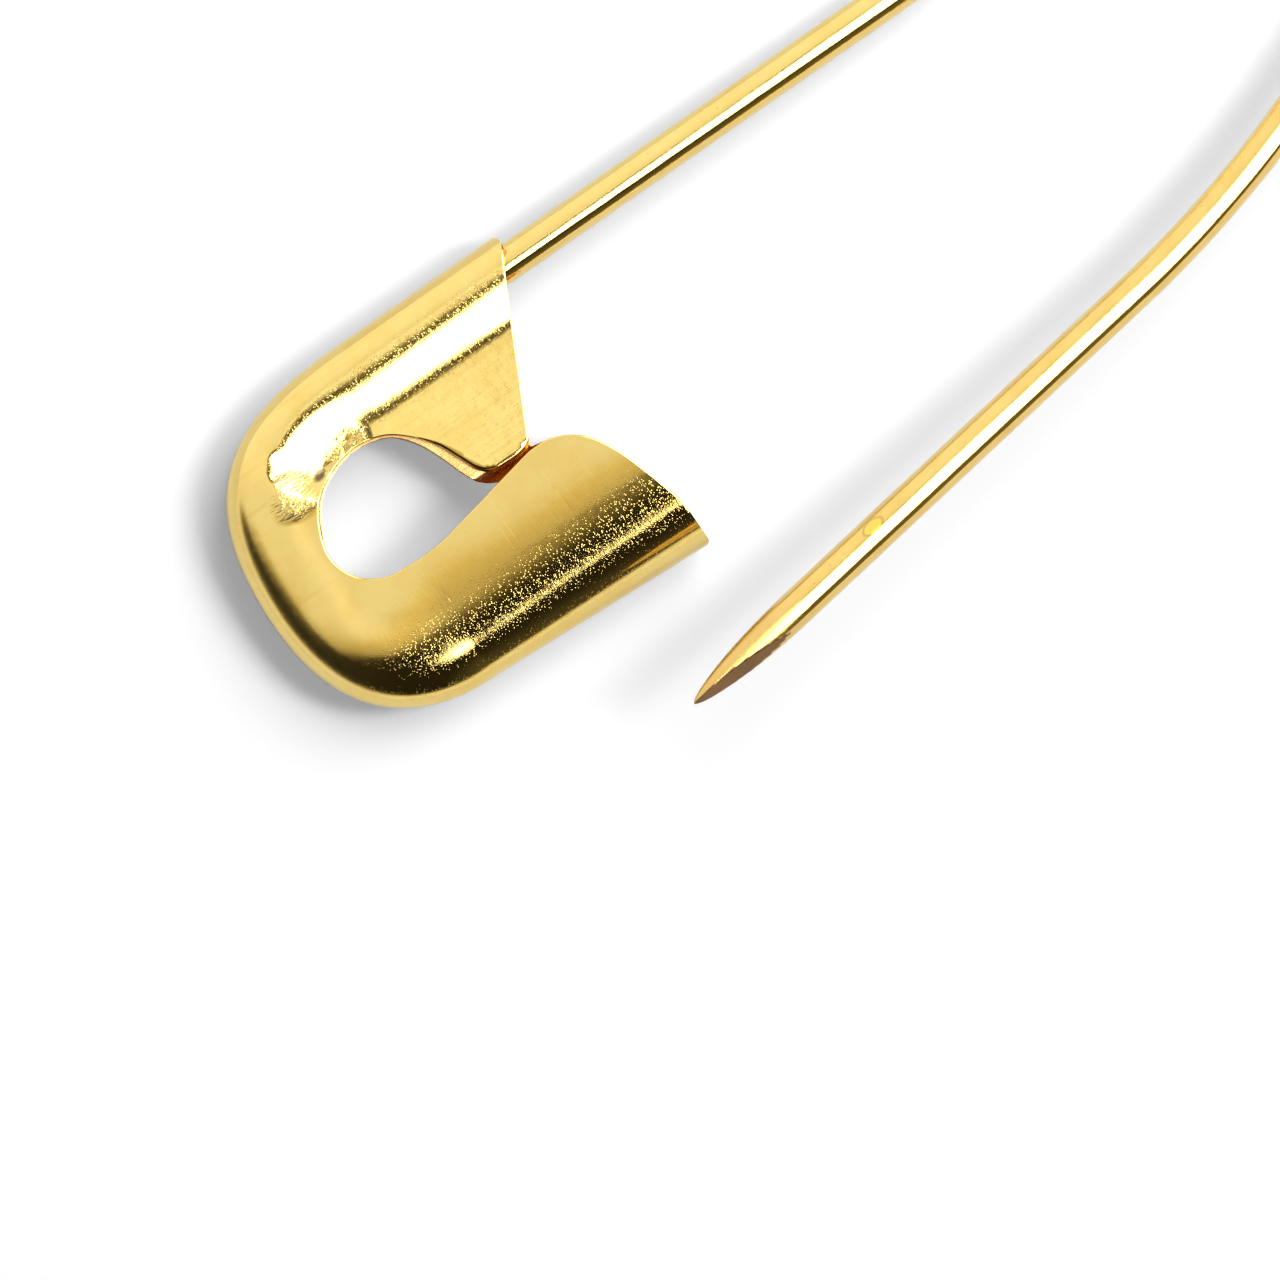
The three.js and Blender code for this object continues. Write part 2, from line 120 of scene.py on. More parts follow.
# Lamps. Azimuths are counted from X, zeniths from straight above.
KEY_AZIMUTH, KEY_ZENITH = math.radians(-18.8), math.radians(40)
KEY_FAR, KEY_LONG, KEY_WIDE, KEY_ASIDE, KEY_GLOSS = 450.0, 650.0, 590.0, -30.0, 6.0
SPOT_AZIMUTH, SPOT_ZENITH = math.radians(-24.8), math.radians(38.5)
SPOT_LONG, SPOT_WIDE, SPOT_LEVEL = 170.0, 115.0, 14.0
SIDE_AZIMUTH, SIDE_ZENITH, SIDE_SIDE, SIDE_LEVEL = math.radians(20.2), math.radians(46), 340.0, 4.4
FILL_FAR, FILL_SIDE, FILL_LEVEL = 900.0, 1600.0, 0.33

# Floor, in metres: its half side, and where its shaded paper fades to plain white
FLOOR_HALF, FLOOR_FADE = 1.5, (0.12, 0.3)
PAPER, PAPER_SEEN = 0.9, 1.14

# The studio seen in reflections, by a direction's height and its shares to the photograph's right and top
LEAST_HEIGHT = 0.05
DARK_HALF, DARK_FULL = (-0.2, 0.0), (-0.29, -0.2)
DARK_BEND_FROM, DARK_BEND = (-0.5, 0.05), -0.25
DARK_HEIGHT = (0.12, 0.22)
DARK_RIGHT, DARK_RIGHT_SHARE = (0.3, 0.7), 0.85
DARKEST, BORDER_SHARE = 0.98, 0.93
TOP_HEIGHT, TOP_RIGHT, TOP_GLOW = (0.955, 0.985), (-0.09, 0.0), 0.27
GLOW_UP, GLOW_LEVELS = (-0.1, 0.7), (0.95, 1.15)
WARM_FROM, WARM_DARK = (0.0, 0.3), (1, 0.88, 0.56, 1)
# The soft box's dark border, its extra width at the lower part, and the least that a direction faces it
KEY_BORDER, BORDER_SOFT, BORDER_LOW, BORDER_LOW_FROM = 0.1, 0.01, 0.14, (-0.21, -0.17)
FACING = 0.02

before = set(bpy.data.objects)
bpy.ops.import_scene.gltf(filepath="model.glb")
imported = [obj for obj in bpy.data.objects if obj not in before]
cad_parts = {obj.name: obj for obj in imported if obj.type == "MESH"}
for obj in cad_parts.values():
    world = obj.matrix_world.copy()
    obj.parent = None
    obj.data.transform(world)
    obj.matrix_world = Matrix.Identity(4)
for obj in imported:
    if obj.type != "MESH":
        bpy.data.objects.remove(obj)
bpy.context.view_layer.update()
_, cap_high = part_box("cap")
# From this layout to the frame's, by the corner of the cap's box
SHIFT = np.array([cap_high.x / MM - MOUTH_LEAD, cap_high.y / MM - TUBE, 0.0])


# Small helpers
def ease(t):
    """Rises from 0 to 1 with no slope and no bend at its ends."""
    t = np.clip(t, 0, 1)
    return t * t * t * (t * (6 * t - 15) + 10)


def smooth(t):
    """Rises from 0 to 1 with no slope at its ends."""
    t = np.clip(t, 0, 1)
    return t * t * (3 - 2 * t)


def lerp(a, b, t):
    return a + (b - a) * t


def unit(v):
    return v / np.linalg.norm(v, axis=-1, keepdims=True)


def to_world(points):
    """Places in metres in the frame."""
    return (np.asarray(points, float) + SHIFT) * MM


def world_x(*levels):
    return [to_world((level, 0, 0))[0] for level in levels]


def world_y(*levels):
    return [to_world((0, level, 0))[1] for level in levels]


def mesh_object(name, points, faces, materials, face_slots=None, uv=None):
    """A smooth mesh with sharp creases, which throws no golden light on the floor."""
    mesh = bpy.data.meshes.new(name)
    corners = [tuple(int(i) for i in face) for face in faces]
    mesh.from_pydata([tuple(p) for p in to_world(points)], [], corners)
    for material in materials:
        mesh.materials.append(material)
    if face_slots is not None:
        mesh.polygons.foreach_set("material_index", np.asarray(face_slots, np.int32))
    mesh.polygons.foreach_set("use_smooth", np.ones(len(mesh.polygons), bool))
    if uv is not None:
        layer = mesh.uv_layers.new(name="run")
        layer.data.foreach_set("uv", np.asarray(uv, np.float32).ravel())
    mesh.update()
    mesh.validate()
    mesh.set_sharp_from_angle(angle=SHARP_ANGLE)
    obj = bpy.data.objects.new(name, mesh)
    bpy.context.scene.collection.objects.link(obj)
    obj.visible_diffuse = False
    return obj


# Node helpers
class Nodes:
    """Short ways to add nodes."""

    def __init__(self, tree):
        self.tree = tree
        tree.nodes.clear()

    def add(self, kind, inputs=(), **settings):
        node = self.tree.nodes.new(kind)
        for key, value in settings.items():
            setattr(node, key, value)
        for socket, value in dict(inputs).items():
            self.set(node, socket, value)
        return node

    def set(self, node, socket, value):
        if isinstance(value, bpy.types.NodeSocket):
            self.tree.links.new(value, node.inputs[socket])
        else:
            node.inputs[socket].default_value = value

    def math(self, operation, a, b=0.0):
        return self.add("ShaderNodeMath", {0: a, 1: b}, operation=operation).outputs[0]

    def plus(self, a, b):
        return self.math("ADD", a, b)

    def minus(self, a, b):
        return self.math("SUBTRACT", a, b)

    def times(self, a, b):
        return self.math("MULTIPLY", a, b)

    def over(self, a, b):
        return self.math("DIVIDE", a, b)

    def most(self, a, b):
        return self.math("MAXIMUM", a, b)

    def step(self, value, low, high, to_low=0.0, to_high=1.0):
        inputs = {"Value": value, "From Min": low, "From Max": high, "To Min": to_low, "To Max": to_high}
        node = self.add("ShaderNodeMapRange", inputs, interpolation_type="SMOOTHSTEP")
        return node.outputs[0]

    def mix(self, share, a, b):
        node = self.add("ShaderNodeMix", data_type="RGBA")
        self.set(node, 0, share)
        self.set(node, 6, a)
        self.set(node, 7, b)
        return node.outputs[2]

    def noise(self, vector, scale, detail=2.0, rough=0.5):
        inputs = {"Vector": vector, "Scale": scale, "Detail": detail, "Roughness": rough}
        return self.add("ShaderNodeTexNoise", inputs).outputs["Fac"]

    def lines(self, vector, amounts, detail=4.0, rough=0.6):
        """Noise drawn out into lines, with as many cells a unit along each axis as the amounts say."""
        return self.noise(self.stretch(vector, amounts), 1.0, detail, rough)

    def cells(self, vector, scale):
        inputs = {"Vector": vector, "Scale": scale}
        return self.add("ShaderNodeTexVoronoi", inputs, feature="F1").outputs

    def vector_math(self, operation, inputs):
        return self.add("ShaderNodeVectorMath", inputs, operation=operation).outputs

    def stretch(self, vector, amounts):
        return self.vector_math("MULTIPLY", {0: vector, 1: amounts})[0]

    def dot(self, vector, direction):
        return self.vector_math("DOT_PRODUCT", {0: vector, 1: direction})["Value"]

    def length(self, vector):
        return self.vector_math("LENGTH", {0: vector})["Value"]

    def axis(self, vector, name):
        return self.add("ShaderNodeSeparateXYZ", {0: vector}).outputs[name]

    def place(self):
        return self.add("ShaderNodeTexCoord").outputs["Object"]

    def run(self):
        """A wire's own map, in millimetres along it and round it."""
        return self.add("ShaderNodeUVMap", uv_map="run").outputs[0]

    def camera_ray(self):
        return self.add("ShaderNodeLightPath").outputs["Is Camera Ray"]


# Colours
WHITE = (1, 1, 1, 1)
GOLD, GOLD_DEEP = (0.92, 0.68, 0.205, 1), (0.86, 0.58, 0.125, 1)
BROWN = (0.20, 0.11, 0.04, 1)

# Metal finishes. Depths of relief are in micrometres, and noise scales in cells a metre.
MICRON = 0.000001
MOTTLE_SCALE, MOTTLE_RANGE, MOTTLE_SHARE = 900.0, (0.35, 0.75), 0.55
PIT_SCALE, PIT_REACH, PIT_STAIN, PIT_ROUGH = 2600.0, 0.16, 0.8, 0.4
LINE_RANGE, LINE_ROUGH, PLAIN_ROUGH = (0.3, 0.75), 0.5, 0.72
PEEL_SCALE, GRAIN_SCALE = 3200.0, 38000.0
DENT_SCALE, DENT_REACH, DENT_CHOICE = 19000.0, 0.45, (0.4, 0.7)
COAT_ROUGH, COAT_IOR = 0.08, 1.5


def fine_texture(n, where, grain, dents):
    """Grain, and small round dents in some of the cells."""
    cells = n.cells(where, DENT_SCALE)
    chosen = n.step(cells["Color"], *DENT_CHOICE)
    dent = n.times(n.step(cells["Distance"], 0.0, DENT_REACH, 1.0, 0.0), chosen)
    return n.minus(n.times(n.noise(where, GRAIN_SCALE, 1.0, 0.5), grain), n.times(dent, dents))


def metal(name, lines, line_depth, peel, grain, dents, rough, tint=GOLD, deep=GOLD_DEEP, pits=0.25,
          marks=None, grain_share=None, coat=0.6):
    """Polished metal: fine lines, a slight orange peel, grain, dents, pits and uneven colour."""
    material = bpy.data.materials.new(name)
    material.use_nodes = True
    n = Nodes(material.node_tree)
    where = n.place()
    drawn = lines(n, where)
    pit = n.step(n.cells(where, PIT_SCALE)["Distance"], 0.0, PIT_REACH, pits, 0.0)
    mottle = n.step(n.noise(where, MOTTLE_SCALE, 3.0, 0.55), *MOTTLE_RANGE, 0.0, MOTTLE_SHARE)
    colour = n.mix(n.times(pit, PIT_STAIN), n.mix(mottle, tint, deep), BROWN)
    roughness = n.plus(n.times(n.step(drawn, *LINE_RANGE), rough * LINE_ROUGH), rough * PLAIN_ROUGH)
    roughness = n.plus(roughness, n.times(pit, PIT_ROUGH))
    height = n.plus(n.times(drawn, line_depth), n.times(n.noise(where, PEEL_SCALE), peel))
    height = n.minus(height, n.times(pit, peel))
    texture = fine_texture(n, where, grain, dents)
    if grain_share:
        texture = n.times(texture, grain_share(n, where))
    height = n.plus(height, texture)
    if marks:
        colour, roughness, height = marks(n, where, colour, roughness, height)
    relief = {"Height": height, "Strength": 1.0, "Distance": MICRON}
    shader = n.add("ShaderNodeBsdfPrincipled", {
        "Base Color": colour, "Roughness": roughness, "Metallic": 1.0,
        "Normal": n.add("ShaderNodeBump", relief).outputs[0],
        "Coat Weight": coat, "Coat Roughness": COAT_ROUGH, "Coat IOR": COAT_IOR,
    })
    n.add("ShaderNodeOutputMaterial", {"Surface": shader.outputs[0]})
    return material


def along_wire(n, where):
    return n.lines(n.run(), (0.6, 22.0, 1.0))


def across_point(n, where):
    return n.lines(n.run(), (26.0, 1.5, 1.0))


def along_spine(n, where):
    return n.lines(where, (500.0, 14000.0, 4000.0))


def along_and_across(n, where):
    """Lines along the spine on its side of the cap, and across it on the guard."""
    across = n.lines(where, (15000.0, 900.0, 3000.0), rough=0.65)
    guard = n.step(n.axis(where, "Y"), *world_y(CROWN_Y - 0.4, CROWN_Y + 0.4), 1.0, 0.0)
    inputs = {0: guard, 2: along_spine(n, where), 3: across}
    return n.add("ShaderNodeMix", inputs).outputs[0]


# Shares of the grain on the cap, by Y on the spine's side and on the guard, and by X at the far end
GRAIN_SPINE_FROM, GRAIN_SPINE = (-2.0, -1.2), (0.04, 0.5)
GRAIN_GUARD_FROM, GRAIN_GUARD = (-8.2, -6.9), (1.0, 0.0)
GRAIN_END_FROM, GRAIN_END = (-11.8, -10.6), (0.8, 0.0)


def grain_on_cap(n, where):
    """The grain is coarse on the outer slope of the guard and faint on the flange and the lip."""
    y = n.axis(where, "Y")
    spine = n.step(y, *world_y(*GRAIN_SPINE_FROM), *GRAIN_SPINE)
    guard = n.step(y, *world_y(*GRAIN_GUARD_FROM), *GRAIN_GUARD)
    end = n.step(n.axis(where, "X"), *world_x(*GRAIN_END_FROM), *GRAIN_END)
    return n.most(n.plus(spine, guard), end)


def spot(n, where, x, y, long, wide, heading=0.0):
    """Distance from a place on the pin, 1 at the edge of an oval."""
    centre = to_world((x, y, 0))
    inputs = {
        "Vector": n.stretch(where, (1.0, 1.0, 0.0)), "Location": (centre[0], centre[1], 0.0),
        "Rotation": (0.0, 0.0, heading), "Scale": (long * MM, wide * MM, 1.0),
    }
    return n.length(n.add("ShaderNodeMapping", inputs, vector_type="TEXTURE").outputs[0])


# Places where the sheet is crumpled beside the hole: X, Y, reach and strength
CRUMPLED = (
    (-9.6, -2.15, 1.15, 1.0), (-8.75, -2.3, 0.95, 1.0), (-8.1, -1.75, 0.8, 0.6), (-7.3, -1.75, 0.8, 0.4),
)
CRUMPLED_FLAT, CRUMPLED_FADE = 0.75, (0.45, 1.0)
CREASES, CREASE_SCALE, CREASE_SHARE, CREASE_DEPTH = (3200.0, 9000.0, 3000.0), 2600.0, 0.8, 26.0

# The crimp beside the hole: X, Y, reach along and across, and heading. Its dent carries a painted dark brown
# shade.
CRIMP = (-8.62, -2.05, 0.3, 0.19, math.radians(20))
# The dent's depth; where its painted shade fades out, the painted shade's strength and the roughness added
# there; then the painted shade's dark brown
CRIMP_DEPTH, CRIMP_FADE, CRIMP_SHADE, CRIMP_ROUGH = 0.07, (0.5, 1.1), 0.9, 0.3
CRIMP_SHADE_BROWN = (0.06, 0.035, 0.015, 1)

# Scratches on the cap, worn lines on the flange's side of it, and its duller far end
SCRATCHES, SCRATCH_RANGE, SCRATCH_DEPTH = (7000.0, 260.0, 500.0), (0.71, 0.76), 0.45
WORN_LINES, WORN_RANGE, WORN_SHARE = (110.0, 4200.0, 900.0), (0.52, 0.75), 0.4
WORN_FROM, WORN_GOLD = (-5.6, -5.0), (0.80, 0.54, 0.13, 1)
DULL_FROM, DULL_ROUGH = (-11.9, -9.4), 0.13


def creases(n, where):
    """Relief of the crumpled places beside the hole."""
    crumpled = 0.0
    for x, y, reach, share in CRUMPLED:
        away = spot(n, where, x, y, reach, reach * CRUMPLED_FLAT)
        crumpled = n.most(crumpled, n.step(away, *CRUMPLED_FADE, share, 0.0))
    rounder = n.times(n.noise(where, CREASE_SCALE), CREASE_SHARE)
    folds = n.plus(n.lines(where, CREASES, 3.0), rounder)
    return n.times(n.times(folds, crumpled), CREASE_DEPTH)


def cap_marks(n, where, colour, roughness, height):
    """Creases, the crimp beside the hole with painted shade in its dent, scratches, worn lines and the duller
    end.
    """
    height = n.plus(height, creases(n, where))
    scratch = n.step(n.lines(where, SCRATCHES, 1.0, 0.5), *SCRATCH_RANGE)
    height = n.minus(height, n.times(scratch, SCRATCH_DEPTH))
    worn = n.step(n.lines(where, WORN_LINES, 2.0, 0.5), *WORN_RANGE, 0.0, WORN_SHARE)
    worn = n.times(worn, n.step(n.axis(where, "Y"), *world_y(*WORN_FROM)))
    colour = n.mix(worn, colour, WORN_GOLD)
    # The crimp's dent is painted dark brown as shade, and made rougher.
    crimp = n.step(spot(n, where, *CRIMP), *CRIMP_FADE, CRIMP_SHADE, 0.0)
    colour = n.mix(crimp, colour, CRIMP_SHADE_BROWN)
    roughness = n.plus(roughness, n.times(crimp, CRIMP_ROUGH))
    dull = n.step(n.axis(where, "X"), *world_x(*DULL_FROM), DULL_ROUGH, 0.0)
    return colour, n.plus(roughness, dull), height


# The ground texture of the needle, which runs out before and after the point's start
GROUND_RUNOUT, GROUND_LINES, GROUND_DEPTH = (0.6, 1.6), (24.0, 2.4, 1.0), 9.0
GROUND_ROUGH, GROUND_TINT, GROUND_GOLD = 0.16, 0.55, (0.72, 0.45, 0.13, 1)

# The oval worn on the needle's arm: X, Y, reach along and across, and heading
WORN_OVAL = (4.3, -12.96, 0.4, 0.2, math.radians(8.2))
OVAL_FADE, OVAL_RING, OVAL_RING_FADE, OVAL_RING_SHARE = (0.75, 0.95), (0.7, 0.9), (0.9, 1.15), 0.6
OVAL_TINT, OVAL_GOLD, OVAL_BROWN = 0.8, (0.93, 0.66, 0.08, 1), (0.55, 0.33, 0.10, 1)
OVAL_SCALE, OVAL_DEPTH, OVAL_ROUGH = 9000.0, 8.0, 0.12


def ground_marks(n, colour, roughness, height):
    """The ground texture that runs out from the point."""
    start = NEEDLE_RUN + NEEDLE_BEND[0] * abs(NEEDLE_BEND[1]) + NEEDLE_STRAIGHT - NEEDLE_POINT
    low, high = start - GROUND_RUNOUT[0], start + GROUND_RUNOUT[1]
    ground = n.step(n.axis(n.run(), "X"), low, high)
    across = n.lines(n.run(), GROUND_LINES, rough=0.65)
    height = n.plus(height, n.times(n.times(across, ground), GROUND_DEPTH))
    roughness = n.plus(roughness, n.times(ground, GROUND_ROUGH))
    return n.mix(n.times(ground, GROUND_TINT), colour, GROUND_GOLD), roughness, height


def needle_marks(n, where, colour, roughness, height):
    """The ground texture, and an oval worn on the arm."""
    colour, roughness, height = ground_marks(n, colour, roughness, height)
    away = spot(n, where, *WORN_OVAL)
    worn = n.step(away, *OVAL_FADE, 1.0, 0.0)
    ring = n.times(n.step(away, *OVAL_RING), n.step(away, *OVAL_RING_FADE, OVAL_RING_SHARE, 0.0))
    colour = n.mix(n.times(worn, OVAL_TINT), colour, OVAL_GOLD)
    colour = n.mix(ring, colour, OVAL_BROWN)
    uneven = n.minus(n.times(n.noise(where, OVAL_SCALE), OVAL_DEPTH), OVAL_DEPTH / 2)
    height = n.plus(height, n.times(worn, uneven))
    return colour, n.plus(roughness, n.times(worn, OVAL_ROUGH)), height


def wire_finish():
    return metal("wire_gold", along_wire, line_depth=1.0, peel=1.5, grain=0.4, dents=0.2, rough=0.07)


def needle_finish():
    return metal("needle_gold", along_wire, line_depth=1.2, peel=2.0, grain=0.6, dents=0.4, rough=0.07,
                 tint=(0.90, 0.63, 0.18, 1), deep=(0.80, 0.50, 0.11, 1), marks=needle_marks)


def ground_finish():
    return metal("ground_point", across_point, line_depth=14.0, peel=3.0, grain=2.0, dents=1.0, rough=0.3,
                 tint=(0.20, 0.115, 0.045, 1), deep=(0.30, 0.15, 0.06, 1), coat=0.1)


def cap_finish():
    return metal("cap_gold", along_and_across, line_depth=0.8, peel=1.0, grain=0.8, dents=2.5, rough=0.06,
                 pits=0.08, marks=cap_marks, grain_share=grain_on_cap)


# The inside of the folded sheet: a copper colour, partly the sheet's own and partly darkened as painted shade
# where it lies between the sheets.
def inside_shaded_finish():
    return metal("cap_inside_shaded", along_spine, line_depth=1.5, peel=3.0, grain=1.0, dents=0.5, rough=0.28,
                 tint=(0.78, 0.46, 0.16, 1), deep=(0.62, 0.32, 0.10, 1))


def cut_finish():
    return metal("cap_cut_edge", along_spine, line_depth=10.0, peel=5.0, grain=2.0, dents=1.0, rough=0.36,
                 tint=(0.80, 0.43, 0.12, 1), deep=(0.40, 0.17, 0.05, 1))


# Wire
def plan_route(start, legs):
    """Places x, y, heading and travelled length along straight legs and arcs, each leg (length, turn)."""
    places = [start]
    for length, turn in legs:
        steps = max(2, int(round(length / ROUTE_STEP)))
        half = turn / steps / 2
        straight = turn == 0
        chord = length / steps if straight else 2 * (length / abs(turn)) * math.sin(abs(half))
        for _ in range(steps):
            x, y, heading, travelled = places[-1]
            course = heading + half
            places.append((x + chord * math.cos(course), y + chord * math.sin(course), course + half,
                           travelled + length / steps))
    return np.array(places)


def arc(radius, turn):
    """A bend as a leg of a route."""
    return radius * abs(turn), turn


def tube(name, route, heights, radii, materials, shape=None):
    """A round wire along a route, mapped by its length and the way round. Faces that shape says it has
    changed take the second material."""
    sides, count = WIRE_SIDES, len(route)
    angles = np.linspace(-np.pi / 2, 1.5 * np.pi, sides, endpoint=False)
    sideways = np.stack([-np.sin(route[:, 2]), np.cos(route[:, 2])], -1)
    rings = np.zeros((count, sides, 3))
    rings[..., :2] = route[:, None, :2] + (radii[:, None] * np.cos(angles))[..., None] * sideways[:, None]
    rings[..., 2] = heights[:, None] + radii[:, None] * np.sin(angles)
    shaped = shape(rings, route, radii) if shape else np.zeros((count, sides), bool)
    faces, slots, uv = [], [], []
    for ring in range(count - 1):
        u0, u1 = route[ring, 3], route[ring + 1, 3]
        a, b = ring * sides, (ring + 1) * sides
        for side in range(sides):
            after = (side + 1) % sides
            faces.append((a + side, a + after, b + after, b + side))
            slots.append(int(shaped[ring, side]))
            v0, v1 = side / sides * np.pi * WIRE, (side + 1) / sides * np.pi * WIRE
            uv += [(u0, v0), (u0, v1), (u1, v1), (u1, v0)]
    faces.append(tuple(range(sides))[::-1])
    faces.append(tuple(range((count - 1) * sides, count * sides)))
    slots += [0, 0]
    uv += [(0, 0)] * (2 * sides)
    return mesh_object(name, rings.reshape(-1, 3), faces, materials, slots, uv)


def wire_routes():
    """The routes of the spine, the coil and the needle, each starting where the last one ends."""
    spine = plan_route((0, 0, 0, 0), [
        (SPINE_STRAIGHT, 0), arc(*SPINE_KINK), arc(*SPINE_BOW), (SPINE_RUN, 0),
    ])
    coil = plan_route((*spine[-1, :3], 0), [(COIL_RADIUS * COIL_WIND, -COIL_WIND)])
    needle = plan_route((*coil[-1, :3], 0), [
        (NEEDLE_RUN, 0), arc(*NEEDLE_BEND), (NEEDLE_STRAIGHT - NEEDLE_POINT, 0), (NEEDLE_POINT, 0),
    ])
    return spine, coil, needle


def make_spine(spine, material):
    """The fixed arm, from its tail inside the cap to the coil's lower turn."""
    tail = plan_route((-SPINE_TAIL, 0, 0, -SPINE_TAIL), [(SPINE_TAIL, 0)])[:-1]
    route = np.vstack([tail, spine])
    heights = lerp(CAP_MID, COIL_LOW, ease(np.clip(route[:, 3], 0, None) / spine[-1, 3]))
    obj = tube("spine_arm", route, heights, np.full(len(route), WIRE / 2), [material])
    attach(obj, "spine")
    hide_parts("spine_wire")


def make_coil(coil, material):
    """The coil, flat at first and then rising. It follows the spine below and the spring above."""
    flat = COIL_WIND - 2 * math.pi
    wound = coil[:, 3] / COIL_RADIUS
    heights = lerp(COIL_LOW, COIL_HIGH, ease((wound - flat) / (2 * math.pi - flat)))
    obj = tube("coil_turns", coil, heights, np.full(len(coil), WIRE / 2), [material])
    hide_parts("coil_spring")
    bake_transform(obj)


def grind(rings, route, radii):
    """Flattens the outer upper side of the point, and says which faces are ground."""
    left = route[-1, 3] - route[:, 3]
    lean = np.full(len(route), GROUND_LEAN)
    outward = unit(np.stack([-np.sin(route[:, 2]), np.cos(route[:, 2]), lean], -1))
    centre = rings.mean(1)
    reach = np.einsum("rsk,rk->rs", rings - centre[:, None], outward)
    keep = radii * lerp(*GROUND_KEEP, ease(np.clip(left / NEEDLE_POINT, 0, 1)))
    over = np.clip(reach - keep[:, None], 0, None)
    rings -= over[..., None] * outward[:, None]
    return (over > 0.000001) & (left[:, None] < NEEDLE_POINT)


def make_needle(needle, material, ground):
    """The moving arm, which rises from its root to a ground point."""
    length = needle[-1, 3]
    rise = np.clip((needle[:, 3] - NEEDLE_RUN) / (length - NEEDLE_RUN), 0, 1)
    left = np.clip((length - needle[:, 3]) / NEEDLE_POINT, 0, 1)
    radii = np.maximum(POINT_TIP, WIRE / 2 * (1 - (1 - left) ** 2) ** POINT_FULLNESS)
    heights = COIL_HIGH + NEEDLE_RISE * rise
    obj = tube("needle_point_arm", needle, heights, radii, [material, ground], grind)
    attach(obj, "needle")
    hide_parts("needle_arm")


# Cap: the rim in plan and the sections across it
RIM_Y = TUBE
GUARD_Y = RIM_Y - CAP_WIDTH
CROWN_Y = RIM_Y - CROWN_OFFSET


def bezier(points, t):
    """Places on a cubic curve through four guide points."""
    a, b, c, d = (np.asarray(p, float) for p in points)
    t = t[:, None]
    return a * (1 - t) ** 3 + 3 * b * t * (1 - t) ** 2 + 3 * c * t * t * (1 - t) + d * t ** 3


def reach_of(section):
    """How far a section reaches from the rim into the flat sheet."""
    return section["round"] + section["ledge"] + section["slope"] + OVERLAP


def blend_sections(a, b, share):
    """A section between two others. The front sheet is lifted over a shorter stretch of the way."""
    mixed = {key: lerp(a[key], b[key], ease(share)) for key in a}
    if a["lift"] != b["lift"]:
        mixed["lift"] = smooth((share - LIFT_START) / (LIFT_END - LIFT_START))
    return mixed


def corner_lines(which, share):
    """Rim points, inner points and section sizes of the lines across one corner of the cap."""
    end_inner = np.array([-CAP_LENGTH + reach_of(END_SECTION), CROWN_Y])
    if which == "spine":
        width = CAP_LENGTH - SPINE_SIDE
        points = [
            (-SPINE_SIDE, RIM_Y), (-SPINE_SIDE - SPINE_CORNER[0] * width, RIM_Y),
            (-CAP_LENGTH, CROWN_Y + SPINE_CORNER[1] * CROWN_OFFSET), (-CAP_LENGTH, CROWN_Y),
        ]
        spine_inner = np.array([-SPINE_SIDE, RIM_Y - reach_of(SPINE_SECTION)])
        ends, sections = (spine_inner, end_inner), (SPINE_SECTION, END_SECTION)
    else:
        heading = unit(np.array([GUARD_SIDE, -GUARD_FLARE]))
        handle = GUARD_CORNER[1] * (CAP_LENGTH - GUARD_SIDE)
        points = [
            (-CAP_LENGTH, CROWN_Y), (-CAP_LENGTH, CROWN_Y - GUARD_CORNER[0] * (CROWN_Y - GUARD_Y)),
            (-GUARD_SIDE - handle * heading[0], GUARD_Y - handle * heading[1]), (-GUARD_SIDE, GUARD_Y),
        ]
        guard_inner = np.array([-GUARD_SIDE, GUARD_Y + reach_of(GUARD_SECTION)])
        ends, sections = (end_inner, guard_inner), (END_SECTION, GUARD_SECTION)
    inner = lerp(*ends, share[:, None])
    return bezier(points, share), inner, blend_sections(*sections, share)


def guard_rim(x):
    """Y of the guard's straight rim, which flares towards its mouth."""
    return GUARD_Y - GUARD_FLARE * (1 + x / GUARD_SIDE)


def raised_height(inset, wall, x, span):
    """Height of the front sheet where it stands up as the guard."""
    inward = np.clip((inset - wall) / (span - wall), 0, 1)
    crown = CROWN_AT_MOUTH + math.tan(CROWN_TILT) * x - wall
    rise = smooth((inset - wall) / SHOULDER_RISE)
    fall = smooth((SHOULDER_END - inset) / SHOULDER_FALL)
    return crown * np.sqrt(1 - (1 - inward) ** 3) + SHOULDER * rise * fall


def heights(section, inset, wall, x):
    """Heights of the front and the back sheet's face above the cap's middle, at a distance from the rim."""
    crown = section["half"] - wall
    share = np.clip((section["round"] - inset) / (section["round"] - wall), 0, 1)
    arch = crown * np.sqrt(1 - share ** 2)
    fall = smooth((inset - section["round"] - section["ledge"]) / section["slope"])
    floor = FLANGE_HALF - wall
    rounded = inset < section["round"]
    front = np.where(rounded, arch, lerp(crown, floor + FLANGE_RISE, fall))
    back = np.where(rounded, arch, lerp(crown, floor - FLANGE_RISE, fall))
    return lerp(front, raised_height(inset, wall, x, section["span"]), section["lift"]), -back


def corner_cut(inset, size):
    """How far a mouth's rounded corner falls back at a distance from the rim."""
    share = np.clip(1 - inset / size, 0, 1)
    return size * (1 - np.sqrt(1 - share ** 2))


